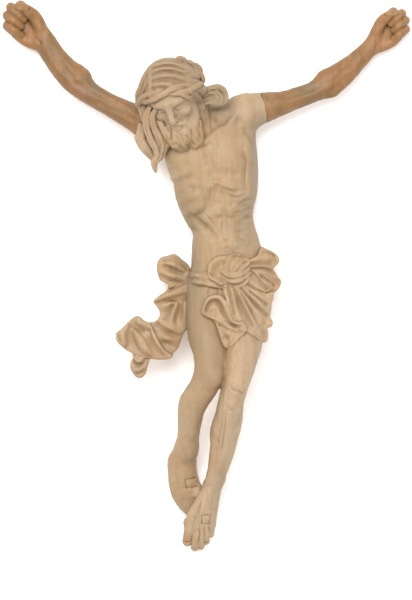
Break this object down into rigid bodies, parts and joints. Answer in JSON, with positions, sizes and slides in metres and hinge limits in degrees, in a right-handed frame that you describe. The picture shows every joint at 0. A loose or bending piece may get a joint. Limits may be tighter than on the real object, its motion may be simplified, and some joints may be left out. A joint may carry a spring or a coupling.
{
  "type": "crucifix corpus figure",
  "caption": "Carved wooden corpus figure with outstretched arms, bowed bearded head with plain wreath, knotted loincloth with flying end and crossed feet, to be fixed on a cross.",
  "frame": {"origin": "middle of the figure's box, on the plane of its flattened back, which is the plane it rests on", "axes": "+Z is the front of the figure and points up as it lies, +Y runs from the feet to the raised hands, +X points to the figure's left arm"},
  "size_m": [0.3328, 0.4486, 0.085],
  "materials": {
    "corpus_wood": "pale limewood, knife finished and waxed, handled bright on the chest and knees",
    "arm_wood": "darker orange brown limewood, smooth and waxed"
  },
  "bodies": {
    "root": {"corpus": "corpus_wood", "left_arm": "arm_wood", "right_arm": "arm_wood"}
  },
  "joints": []
}
